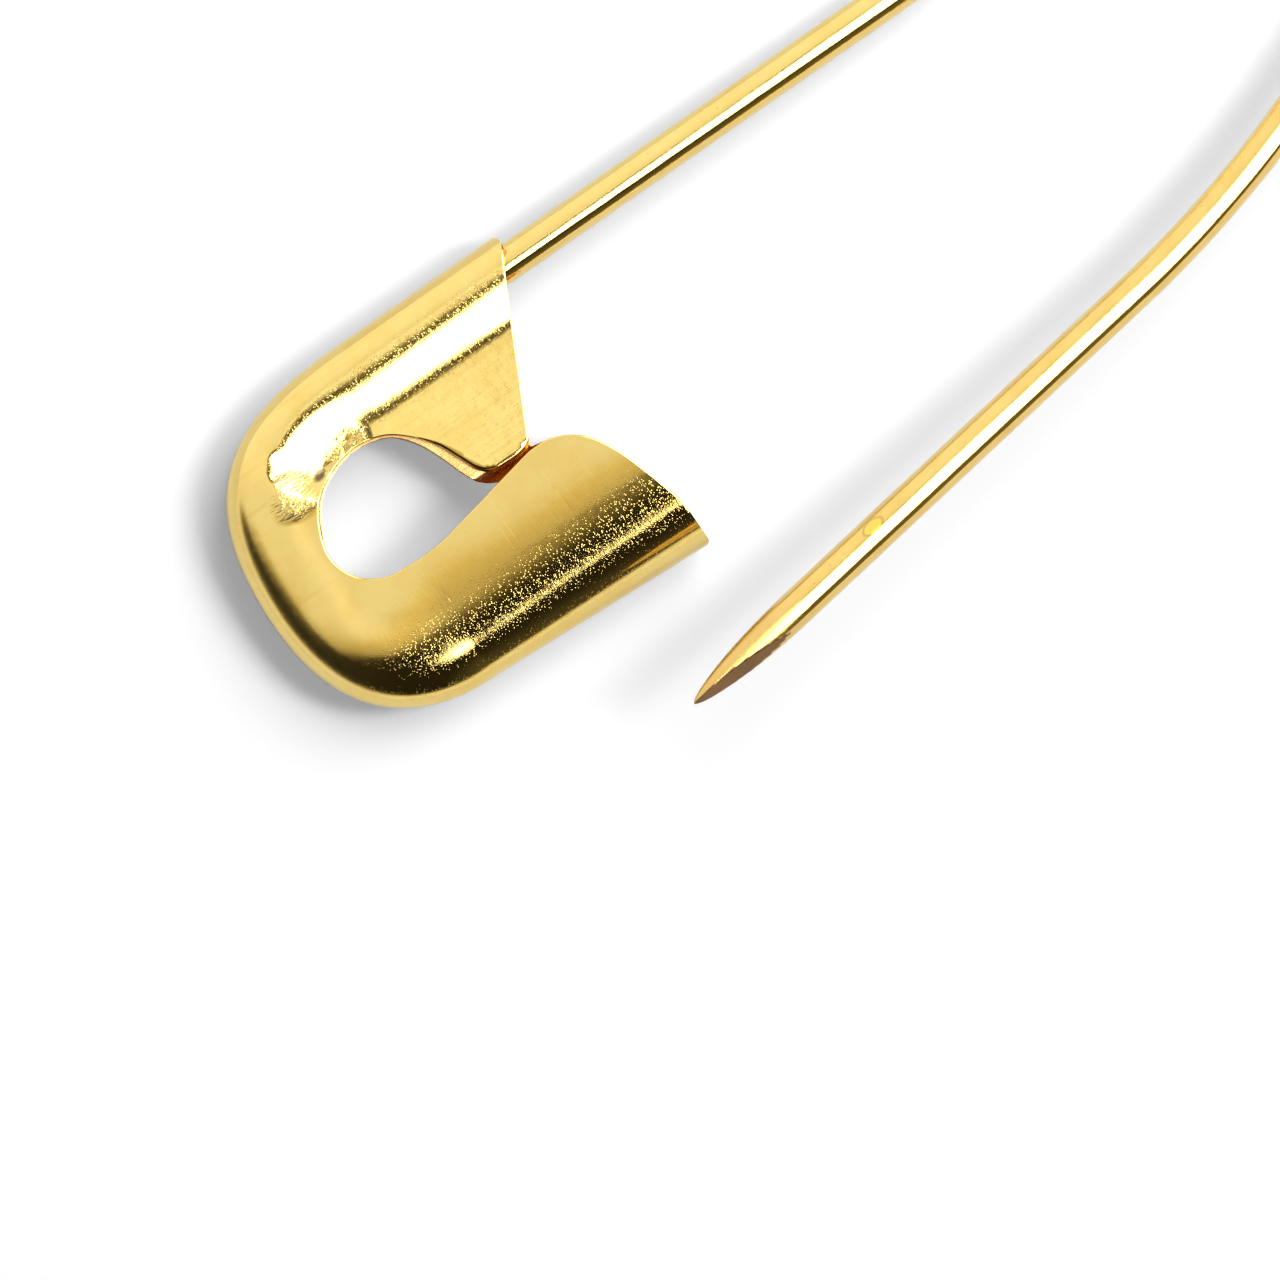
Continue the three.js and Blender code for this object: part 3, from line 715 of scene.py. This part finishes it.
def rim_row(angle, face, wall):
    """One line round the cap on its rounded rim, from the spine's mouth to the guard's."""
    side = np.linspace(0, 1, STATIONS_SIDE + 1)[:-1]
    corner = np.linspace(0, 1, STATIONS_CORNER + 1)

    def inset_of(section):
        return wall + (section["round"] - wall) * (1 - math.sin(angle))

    inset = inset_of(SPINE_SECTION)
    mouth = MOUTH_LEAD - mouth_slant() * inset - corner_cut(inset, MOUTH_CORNERS[0])
    x = lerp(mouth, -SPINE_SIDE, side)
    z = heights(SPINE_SECTION, np.full_like(x, inset), wall, x)[face]
    parts = [np.stack([x, np.full_like(x, RIM_Y - inset), z], -1)]
    for which, share in (("spine", corner[:-1]), ("guard", corner)):
        rim, inner, section = corner_lines(which, share)
        inset = inset_of(section)
        place = rim + unit(inner - rim) * inset[:, None]
        parts.append(np.column_stack([place, heights(section, inset, wall, place[:, 0])[face]]))
    inset = inset_of(GUARD_SECTION)
    x = lerp(-GUARD_SIDE, -corner_cut(inset, MOUTH_CORNERS[1]), side + side[1])
    z = heights(GUARD_SECTION, np.full_like(x, inset), wall, x)[face]
    parts.append(np.stack([x, guard_rim(x) + inset, z], -1))
    return np.vstack(parts)


def rim_grid(wall):
    """The rounded rim's lines round the cap, from the front sheet over the rim to the back sheet."""
    angles = np.linspace(ROUND_START, np.pi / 2, ROUND_STEPS + 1)
    front = [rim_row(angle, 0, wall) for angle in angles]
    back = [rim_row(angle, 1, wall) for angle in angles[::-1][1:]]
    return np.array(front + back)


# Cap: outlines of the openings
def cap_place(share):
    """A place on the cap by its shares of the length and width."""
    return np.array([-share[0] * CAP_LENGTH, RIM_Y - share[1] * CAP_WIDTH])


def mouth_slant():
    """How much X the spine's mouth gains for each step of Y."""
    top, corner = cap_place(FLANGE_TOP), cap_place(FLANGE_CORNER[0])
    return (top[0] - corner[0]) / (top[1] - corner[1])


def smooth_through(shares, per_leg=16):
    """A smooth line through places on the cap."""
    points = [cap_place(s) for s in shares]
    line = []
    for leg in range(len(points) - 1):
        p0, p1 = points[max(leg - 1, 0)], points[leg]
        p2, p3 = points[leg + 1], points[min(leg + 2, len(points) - 1)]
        v0, v1 = (p2 - p0) / 2, (p3 - p1) / 2
        cubic, square = 2 * p1 - 2 * p2 + v0 + v1, -3 * p1 + 3 * p2 - 2 * v0 - v1
        line += [cubic * t ** 3 + square * t * t + v0 * t + p1 for t in np.arange(per_leg) / per_leg]
    line.append(points[-1])
    return np.array(line)


def even_steps(line, closed=False):
    """The line walked in even steps, its corners eased a little."""
    if closed:
        line = np.vstack([line, line[:1]])
    run = np.concatenate([[0], np.cumsum(np.linalg.norm(np.diff(line, axis=0), axis=1))])
    at = np.linspace(0, run[-1], int(run[-1] / EDGE_STEP) + 1)
    walked = np.stack([np.interp(at, run, line[:, k]) for k in (0, 1)], -1)
    if closed:
        walked = walked[:-1]
    for _ in range(EDGE_EASINGS):
        before, after = np.roll(walked, 1, axis=0), np.roll(walked, -1, axis=0)
        eased = (before + 2 * walked + after) / 4
        if not closed:
            eased[0], eased[-1] = walked[0], walked[-1]
        walked = eased
    return walked


def hole_far():
    """The edge of the hole from the flange's side round the far end to the guard's side."""
    return smooth_through(HOLLOW + HOLE_END + GUARD_HOLLOW)


def front_edge(spine_end, guard_end):
    """From the guard's mouth along its lip, round the hole and the flange to the spine's mouth."""
    lip, corner, heel = (smooth_through(line)[::-1] for line in (GUARD_LIP, FLANGE_CORNER, FLANGE_HEEL))
    mouth = cap_place(GUARD_MOUTH)[None]
    return even_steps(np.vstack([
        guard_end[None], mouth, lip, hole_far()[::-1], heel, corner, spine_end[None],
    ]))


def back_edge(spine_end, guard_end):
    """From the guard's mouth along its lip and across the notch to the spine's mouth."""
    lip, corner = smooth_through(GUARD_LIP), smooth_through(FLANGE_CORNER)
    lip, corner = lip[int(len(lip) * NOTCH_LIP):][::-1], corner[:len(corner) // 2][::-1]
    mouth = cap_place(GUARD_MOUTH)[None]
    return even_steps(np.vstack([guard_end[None], mouth, lip, corner, spine_end[None]]))


def back_hole():
    """The hole of the back sheet, whose edge stands out under the front's at the top and most at the heel."""
    far = hole_far()
    middle = (far.min(0) + far.max(0)) / 2
    heel = smooth_through(FLANGE_HEEL)
    line = even_steps(np.vstack([heel[len(heel) // 4:], far]))
    along = np.gradient(line, axis=0)
    inward = unit(np.column_stack([-along[:, 1], along[:, 0]]))
    upper = smooth((line[:, 1] - middle[1]) / BACK_LIP_FADE)
    near_heel = smooth((line[:, 0] - BACK_LIP_FROM[0]) / (BACK_LIP_FROM[1] - BACK_LIP_FROM[0]))
    lip = line + inward * lerp(BACK_LIP * upper, BACK_LIP_HEEL, near_heel)[:, None]
    return even_steps(np.vstack([cap_place(BACK_HOLE_TIP)[None], lip]), closed=True)


def inside(points, loops):
    """Which points lie inside an odd number of the loops."""
    odd = np.zeros(len(points), bool)
    for loop in loops:
        for (x0, y0), (x1, y1) in zip(loop, np.roll(loop, -1, axis=0)):
            if y0 == y1:
                continue
            crosses = (points[:, 1] > min(y0, y1)) & (points[:, 1] <= max(y0, y1))
            at = x0 + (points[:, 1] - y0) * (x1 - x0) / (y1 - y0)
            odd ^= crosses & (points[:, 0] < at)
    return odd


def distance_to(points, line):
    """Distance from each point to the nearest point of a line."""
    least = np.zeros(len(points))
    for start in range(0, len(points), CHUNK):
        part = points[start:start + CHUNK]
        least[start:start + CHUNK] = np.linalg.norm(part[:, None] - line[None], axis=2).min(1)
    return least


def fan_place(points, which):
    """Section, distance from the rim and direction away from it, of points in one corner of the cap."""
    rim, inner, _ = corner_lines(which, np.linspace(0, 1, FAN_STEPS + 1))
    line = (inner - rim)[None]
    share = np.zeros(len(points))
    for start in range(0, len(points), CHUNK):
        part = points[start:start + CHUNK]
        gap = part[:, None] - rim[None]
        cross = line[..., 0] * gap[..., 1] - line[..., 1] * gap[..., 0]
        ahead = (gap[:, :-1] * line[:, :-1]).sum(-1) > 0
        between = (cross[:, :-1] * cross[:, 1:] <= 0) & ahead
        nearer = np.where(np.abs(cross[:, 0]) < np.abs(cross[:, -1]), 0, FAN_STEPS - 1)
        found = np.where(between.any(1), between.argmax(1), nearer)
        row = np.arange(len(part))
        c0, c1 = cross[row, found], cross[row, found + 1]
        bit = np.clip(np.where(c0 == c1, 0, c0 / np.where(c0 == c1, 1, c0 - c1)), 0, 1)
        share[start:start + CHUNK] = (found + bit) / FAN_STEPS
    rim, inner, section = corner_lines(which, share)
    along = unit(inner - rim)
    return section, ((points - rim) * along).sum(1), along


def crimp_depth(points):
    """Depth of the crimp pressed into the front sheet beside the hole."""
    x, y, long, wide, heading = CRIMP
    away = points - (x, y)
    along = away[:, 0] * math.cos(heading) + away[:, 1] * math.sin(heading)
    across = away[:, 1] * math.cos(heading) - away[:, 0] * math.sin(heading)
    return CRIMP_DEPTH * np.exp(-((along / long) ** 2 + (across / wide) ** 2))


def sheet_zones(points, front):
    """Which points of a sheet belong to each side and corner of the rim."""
    x, y = points[:, 0], points[:, 1]
    split = cap_place(GUARD_LIP[0])[1] + FRONT_SPLIT if front else CROWN_Y + BACK_SPLIT
    spine_side, guard_side = (x >= -SPINE_SIDE) & (y >= split), (x >= -GUARD_SIDE) & (y < split)
    corners = ~(spine_side | guard_side)
    return {
        "spine_side": spine_side, "guard_side": guard_side,
        "spine": corners & (y >= CROWN_Y), "guard": corners & (y < CROWN_Y),
    }


def zone_place(points, zone):
    """Section, distance from the rim and direction away from it, of points in one zone."""
    if zone == "spine_side":
        return SPINE_SECTION, RIM_Y - points[:, 1], np.tile([0.0, -1.0], (len(points), 1))
    if zone == "guard_side":
        inset = points[:, 1] - guard_rim(points[:, 0])
        return GUARD_SECTION, inset, np.tile([0.0, 1.0], (len(points), 1))
    return fan_place(points, zone)


def sheet_faces(points, front):
    """Outer and inner face points of one sheet of the cap, over plan points away from the rim."""
    outer, inner = np.zeros((len(points), 3)), np.zeros((len(points), 3))
    for zone, chosen in sheet_zones(points, front).items():
        if not chosen.any():
            continue
        part = points[chosen]
        section, inset, along = zone_place(part, zone)
        for target, wall in ((outer, 0.0), (inner, SHEET)):
            pushed = wall * np.clip(1 - inset / section["round"], 0, 1)
            place = part + along * pushed[:, None]
            z = heights(section, inset + pushed, wall, place[:, 0])[0 if front else 1]
            if front:
                z = z - crimp_depth(part)
            target[chosen] = np.column_stack([place, z])
    return outer, inner


def edge_rows(line, closed):
    """Rows of points along both sides of a cut edge, each with its distance from it."""
    ahead = np.roll(line, -1, axis=0) - np.roll(line, 1, axis=0)
    if not closed:
        ahead[0], ahead[-1] = line[1] - line[0], line[-1] - line[-2]
    side = unit(np.stack([-ahead[:, 1], ahead[:, 0]], -1))
    return [(line + sign * side * offset, offset) for offset in EDGE_ROWS for sign in (-1, 1)]


def plan_grid(loops):
    """An even grid of points inside the loops."""
    fixed = np.vstack(loops)
    low, high = fixed.min(0), fixed.max(0)
    ys = np.arange(low[1], high[1], SHEET_STEP * math.sqrt(3) / 2)
    grid = np.array([(x + (row % 2) * SHEET_STEP / 2, y) for row, y in enumerate(ys)
                     for x in np.arange(low[0], high[0], SHEET_STEP)])
    grid = grid[inside(grid, loops)]
    return grid[distance_to(grid, fixed) > GRID_GAP]


def fill_plan(outline, holes, edge):
    """Triangles over the plan inside the outline, and each point's distance from the cut edges."""
    loops = [outline] + holes
    fixed, cut = np.vstack(loops), np.vstack([edge] + holes)
    rows = edge_rows(edge, False)
    for hole in holes:
        rows += edge_rows(hole, True)
    free = [points[(distance_to(points, cut) > ROW_KEEP * offset) & inside(points, loops)
                   & (distance_to(points, fixed) > ROW_GAP)] for points, offset in rows]
    points = np.vstack([fixed] + free + [plan_grid(loops)])
    edges, base = [], 0
    for loop in loops:
        edges += [(base + i, base + (i + 1) % len(loop)) for i in range(len(loop))]
        base += len(loop)
    places = [Vector(p) for p in points]
    verts, _, faces, _, _, _ = delaunay_2d_cdt(places, edges, [], 0, 0.0000001)
    verts, faces = np.array([tuple(v) for v in verts]), np.array(faces)
    faces = faces[inside(verts[faces].mean(1), loops)]
    return verts, faces, distance_to(verts, cut)


def edge_radius(plan, front):
    """The cut edge is rounded a little, and more round the corner and heel of the flange."""
    if not front:
        return np.full(len(plan), EDGE_ROUND)
    corner, start = cap_place(FLANGE_CORNER[-1]), cap_place(FLANGE_CORNER[0])
    away = np.linalg.norm(plan - corner, axis=1)
    flange = smooth((ROLLED_END - away) / ROLLED_FADE)
    flange *= smooth((start[0] - plan[:, 0]) / ROLLED_START)
    flange *= plan[:, 1] > corner[1] - ROLLED_BELOW
    return lerp(EDGE_ROUND, ROLLED_ROUND, flange)


class Parts:
    """Vertices, faces and material slots of a mesh, gathered part by part."""

    def __init__(self):
        self.points, self.faces, self.slots, self.count = [], [], [], 0

    def add(self, vertices, faces, slot, flip):
        faces = np.asarray(faces) + self.count
        self.points.append(vertices)
        self.faces += [tuple(face[::-1]) if flip else tuple(face) for face in faces]
        self.slots += [slot] * len(faces)
        self.count += len(vertices)


def strip(count, closed=False):
    """Quads between two lines of as many points, the second counted after the first."""
    after = [(i + 1) % count for i in range(count)]
    return [(i, after[i], count + after[i], count + i) for i in range(count if closed else count - 1)]


def add_rim(parts, outer, inner):
    """The rounded rim, and the cut edges across it at both mouths."""
    rows, stations = outer.shape[:2]
    grid = np.arange(rows * stations).reshape(rows, stations)
    quads = np.stack([grid[:-1, :-1], grid[1:, :-1], grid[1:, 1:], grid[:-1, 1:]], -1).reshape(-1, 4)
    parts.add(outer.reshape(-1, 3), quads, FACE, False)
    parts.add(inner.reshape(-1, 3), quads, HIDDEN, True)
    for end in (0, stations - 1):
        parts.add(np.vstack([outer[:, end], inner[:, end]]), strip(rows), CUT, end == 0)


def add_sheet(parts, rim_line, front):
    """One sheet of the cap inside the rim, with its cut edges."""
    edge = (front_edge if front else back_edge)(rim_line[0], rim_line[-1])
    holes = [] if front else [back_hole()]
    plan, faces, away = fill_plan(np.vstack([rim_line, edge[1:-1]]), holes, edge)
    outer, inner = sheet_faces(plan, front)
    radius = edge_radius(plan, front)
    depth = radius - np.sqrt(np.clip(radius ** 2 - np.clip(radius - away, 0, None) ** 2, 0, None))
    drop = (depth / SHEET)[:, None]
    parts.add(lerp(outer, inner, drop), faces, FACE, not front)
    parts.add(lerp(inner, outer, drop * INNER_ROUND), faces, HIDDEN, front)
    for line, closed in [(edge, False)] + [(hole, True) for hole in holes]:
        top, low = sheet_faces(line, front)
        lip = (edge_radius(line, front) / SHEET)[:, None]
        upper, lower = lerp(top, low, lip), lerp(low, top, lip * INNER_ROUND)
        parts.add(np.vstack([upper, lower]), strip(len(line), closed), CUT, front)


def weld(obj):
    """Joins the parts of the cap and creases it where they meet at an angle."""
    work = bmesh.new()
    work.from_mesh(obj.data)
    bmesh.ops.remove_doubles(work, verts=work.verts, dist=WELD)
    bmesh.ops.recalc_face_normals(work, faces=work.faces)
    for edge in work.edges:
        if len(edge.link_faces) == 2 and edge.calc_face_angle(0) > SHARP_ANGLE:
            edge.smooth = False
    work.to_mesh(obj.data)
    work.free()


def make_cap(face, hidden, cut):
    """The cap, one folded sheet."""
    outer_rim, inner_rim = rim_grid(0.0), rim_grid(SHEET)
    parts = Parts()
    add_rim(parts, outer_rim, inner_rim)
    add_sheet(parts, outer_rim[0][:, :2], True)
    add_sheet(parts, outer_rim[-1][:, :2], False)
    vertices = np.vstack(parts.points)
    vertices[:, 2] += CAP_MID
    obj = mesh_object("cap_sheet", vertices, parts.faces, [face, hidden, cut], parts.slots)
    weld(obj)
    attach(obj, "spine")
    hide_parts("cap")


# Studio
def floor_finish():
    """White paper that keeps shadows near the pin and fades to plain white far away."""
    material = bpy.data.materials.new("floor_white")
    material.use_nodes = True
    n = Nodes(material.node_tree)
    paper, seen = (PAPER, PAPER, PAPER, 1), (PAPER_SEEN, PAPER_SEEN, PAPER_SEEN, 1)
    tone = n.mix(n.camera_ray(), paper, seen)
    lit = n.add("ShaderNodeBsdfDiffuse", {"Color": tone}).outputs[0]
    white = n.add("ShaderNodeEmission", {"Color": WHITE, "Strength": 1.0}).outputs[0]
    far = n.step(n.length(n.place()), *FLOOR_FADE)
    surface = n.add("ShaderNodeMixShader", {0: far, 1: lit, 2: white}).outputs[0]
    n.add("ShaderNodeOutputMaterial", {"Surface": surface})
    return material


def make_floor():
    mesh = bpy.data.meshes.new("floor")
    half = FLOOR_HALF
    corners = [(-half, -half, 0), (half, -half, 0), (half, half, 0), (-half, half, 0)]
    mesh.from_pydata(corners, [], [(0, 1, 2, 3)])
    floor = bpy.data.objects.new("floor", mesh)
    bpy.context.scene.collection.objects.link(floor)
    mesh.materials.append(floor_finish())


def key_border(n, way):
    """Where a reflection sees the soft box or its dark border."""
    turned = Euler((0, KEY_ZENITH, KEY_AZIMUTH)).to_matrix()
    along, across, facing = (n.dot(way, tuple(turned.col[axis])) for axis in range(3))
    ahead = n.most(facing, FACING)
    wide = n.minus(n.over(across, ahead), KEY_ASIDE / KEY_FAR)
    lower = n.step(wide, *BORDER_LOW_FROM, BORDER_LOW, 0.0)
    long = n.minus(n.math("ABSOLUTE", n.over(along, ahead)), lower)
    mask = n.step(facing, 0.0, FACING)
    for share, reach in ((long, KEY_LONG), (n.math("ABSOLUTE", wide), KEY_WIDE)):
        edge = reach / 2 / KEY_FAR + KEY_BORDER
        mask = n.times(mask, n.step(share, edge - BORDER_SOFT, edge + BORDER_SOFT, 1.0, 0.0))
    return mask


def dark_side(n, right, up, height):
    """The dark of the studio's lower side: half dark at first, then nearly black."""
    flat = n.most(height, LEAST_HEIGHT)
    bend = n.step(n.over(right, flat), *DARK_BEND_FROM, DARK_BEND, 0.0)
    side = n.minus(n.over(up, flat), bend)
    lit = n.times(n.step(side, *DARK_HALF, 0.5, 1.0), n.step(side, *DARK_FULL))
    dark = n.times(n.minus(1.0, lit), n.step(height, *DARK_HEIGHT))
    return n.times(dark, n.step(right, *DARK_RIGHT, 1.0, DARK_RIGHT_SHARE))


def make_world():
    """White to the camera. Reflections see a bright studio with a dark side and the soft box's border."""
    world = bpy.data.worlds.new("studio")
    bpy.context.scene.world = world
    world.use_nodes = True
    n = Nodes(world.node_tree)
    way = n.add("ShaderNodeTexCoord").outputs["Generated"]
    way = n.vector_math("NORMALIZE", {0: way})[0]
    turns = (-PHOTO_TURN, math.pi / 2 - PHOTO_TURN)
    right, up = (n.dot(way, (math.cos(turn), math.sin(turn), 0)) for turn in turns)
    height = n.axis(way, "Z")
    dark = n.most(dark_side(n, right, up, height), n.times(key_border(n, way), BORDER_SHARE))
    overhead = n.times(n.step(height, *TOP_HEIGHT), n.step(right, *TOP_RIGHT))
    glow = n.plus(n.step(up, *GLOW_UP, *GLOW_LEVELS), n.times(overhead, TOP_GLOW))
    level = n.times(glow, n.minus(1.0, n.times(dark, DARKEST)))
    camera = n.camera_ray()
    reflected = n.minus(1.0, camera)
    strength = n.plus(n.times(level, reflected), camera)
    colour = n.mix(n.times(n.step(dark, *WARM_FROM), reflected), WHITE, WARM_DARK)
    sky = n.add("ShaderNodeBackground", {"Color": colour, "Strength": strength}).outputs[0]
    n.add("ShaderNodeOutputWorld", {"Surface": sky})
    world.cycles_visibility.diffuse = False


def make_lamp(name, level, size, turn, place):
    """An oblong soft box, as bright as level all over, at a place in its own turned axes."""
    lamp = bpy.data.lights.new(name, "AREA")
    lamp.shape = "RECTANGLE"
    lamp.size, lamp.size_y = size[0] * MM, size[1] * MM
    lamp.energy = level * math.pi * lamp.size * lamp.size_y
    box = bpy.data.objects.new(name, lamp)
    box.visible_camera = False
    box.rotation_euler = turn
    centre = Vector(to_world((*PHOTO_CENTRE, 0)))
    box.location = centre + box.rotation_euler.to_matrix() @ Vector(place) * MM
    bpy.context.scene.collection.objects.link(box)
    return box


def make_lamps():
    """The soft box that gloss reflects, and the light of it and of the ceiling on matt surfaces."""
    gloss = make_lamp("key_gloss", KEY_GLOSS, (KEY_LONG, KEY_WIDE), (0, KEY_ZENITH, KEY_AZIMUTH),
                      (0, KEY_ASIDE, KEY_FAR))
    gloss.visible_diffuse = False
    matt = (
        ("spot_matt", SPOT_LEVEL, (SPOT_LONG, SPOT_WIDE), (0, SPOT_ZENITH, SPOT_AZIMUTH), (0, 0, KEY_FAR)),
        ("side_matt", SIDE_LEVEL, (SIDE_SIDE, SIDE_SIDE), (0, SIDE_ZENITH, SIDE_AZIMUTH), (0, 0, KEY_FAR)),
        ("fill", FILL_LEVEL, (FILL_SIDE, FILL_SIDE), (0, 0, 0), (0, 0, FILL_FAR)),
    )
    for settings in matt:
        make_lamp(*settings).visible_glossy = False


def make_camera():
    """Straight from above and from far away, so that the plane of the cap's middle fills the photograph."""
    lens = bpy.data.cameras.new("camera")
    lens.sensor_width = SENSOR
    lens.lens = SENSOR * (CAMERA_FAR - CAP_MID) / PHOTO_SIDE
    lens.clip_start, lens.clip_end = 0.05, 10
    camera = bpy.data.objects.new("camera", lens)
    camera.location = to_world((*PHOTO_CENTRE, CAMERA_FAR))
    camera.rotation_euler = (0, 0, -PHOTO_TURN)
    bpy.context.scene.collection.objects.link(camera)
    bpy.context.scene.camera = camera


bpy.context.scene.view_settings.view_transform = "Standard"
make_camera()
make_world()
make_lamps()
make_floor()

wire = wire_finish()
needle_gold = needle_finish()
ground = ground_finish()
cap_sides = cap_finish(), inside_shaded_finish(), cut_finish()

spine_line, coil_line, needle_line = wire_routes()
make_spine(spine_line, wire)
make_coil(coil_line, wire)
make_needle(needle_line, needle_gold, ground)
make_cap(*cap_sides)
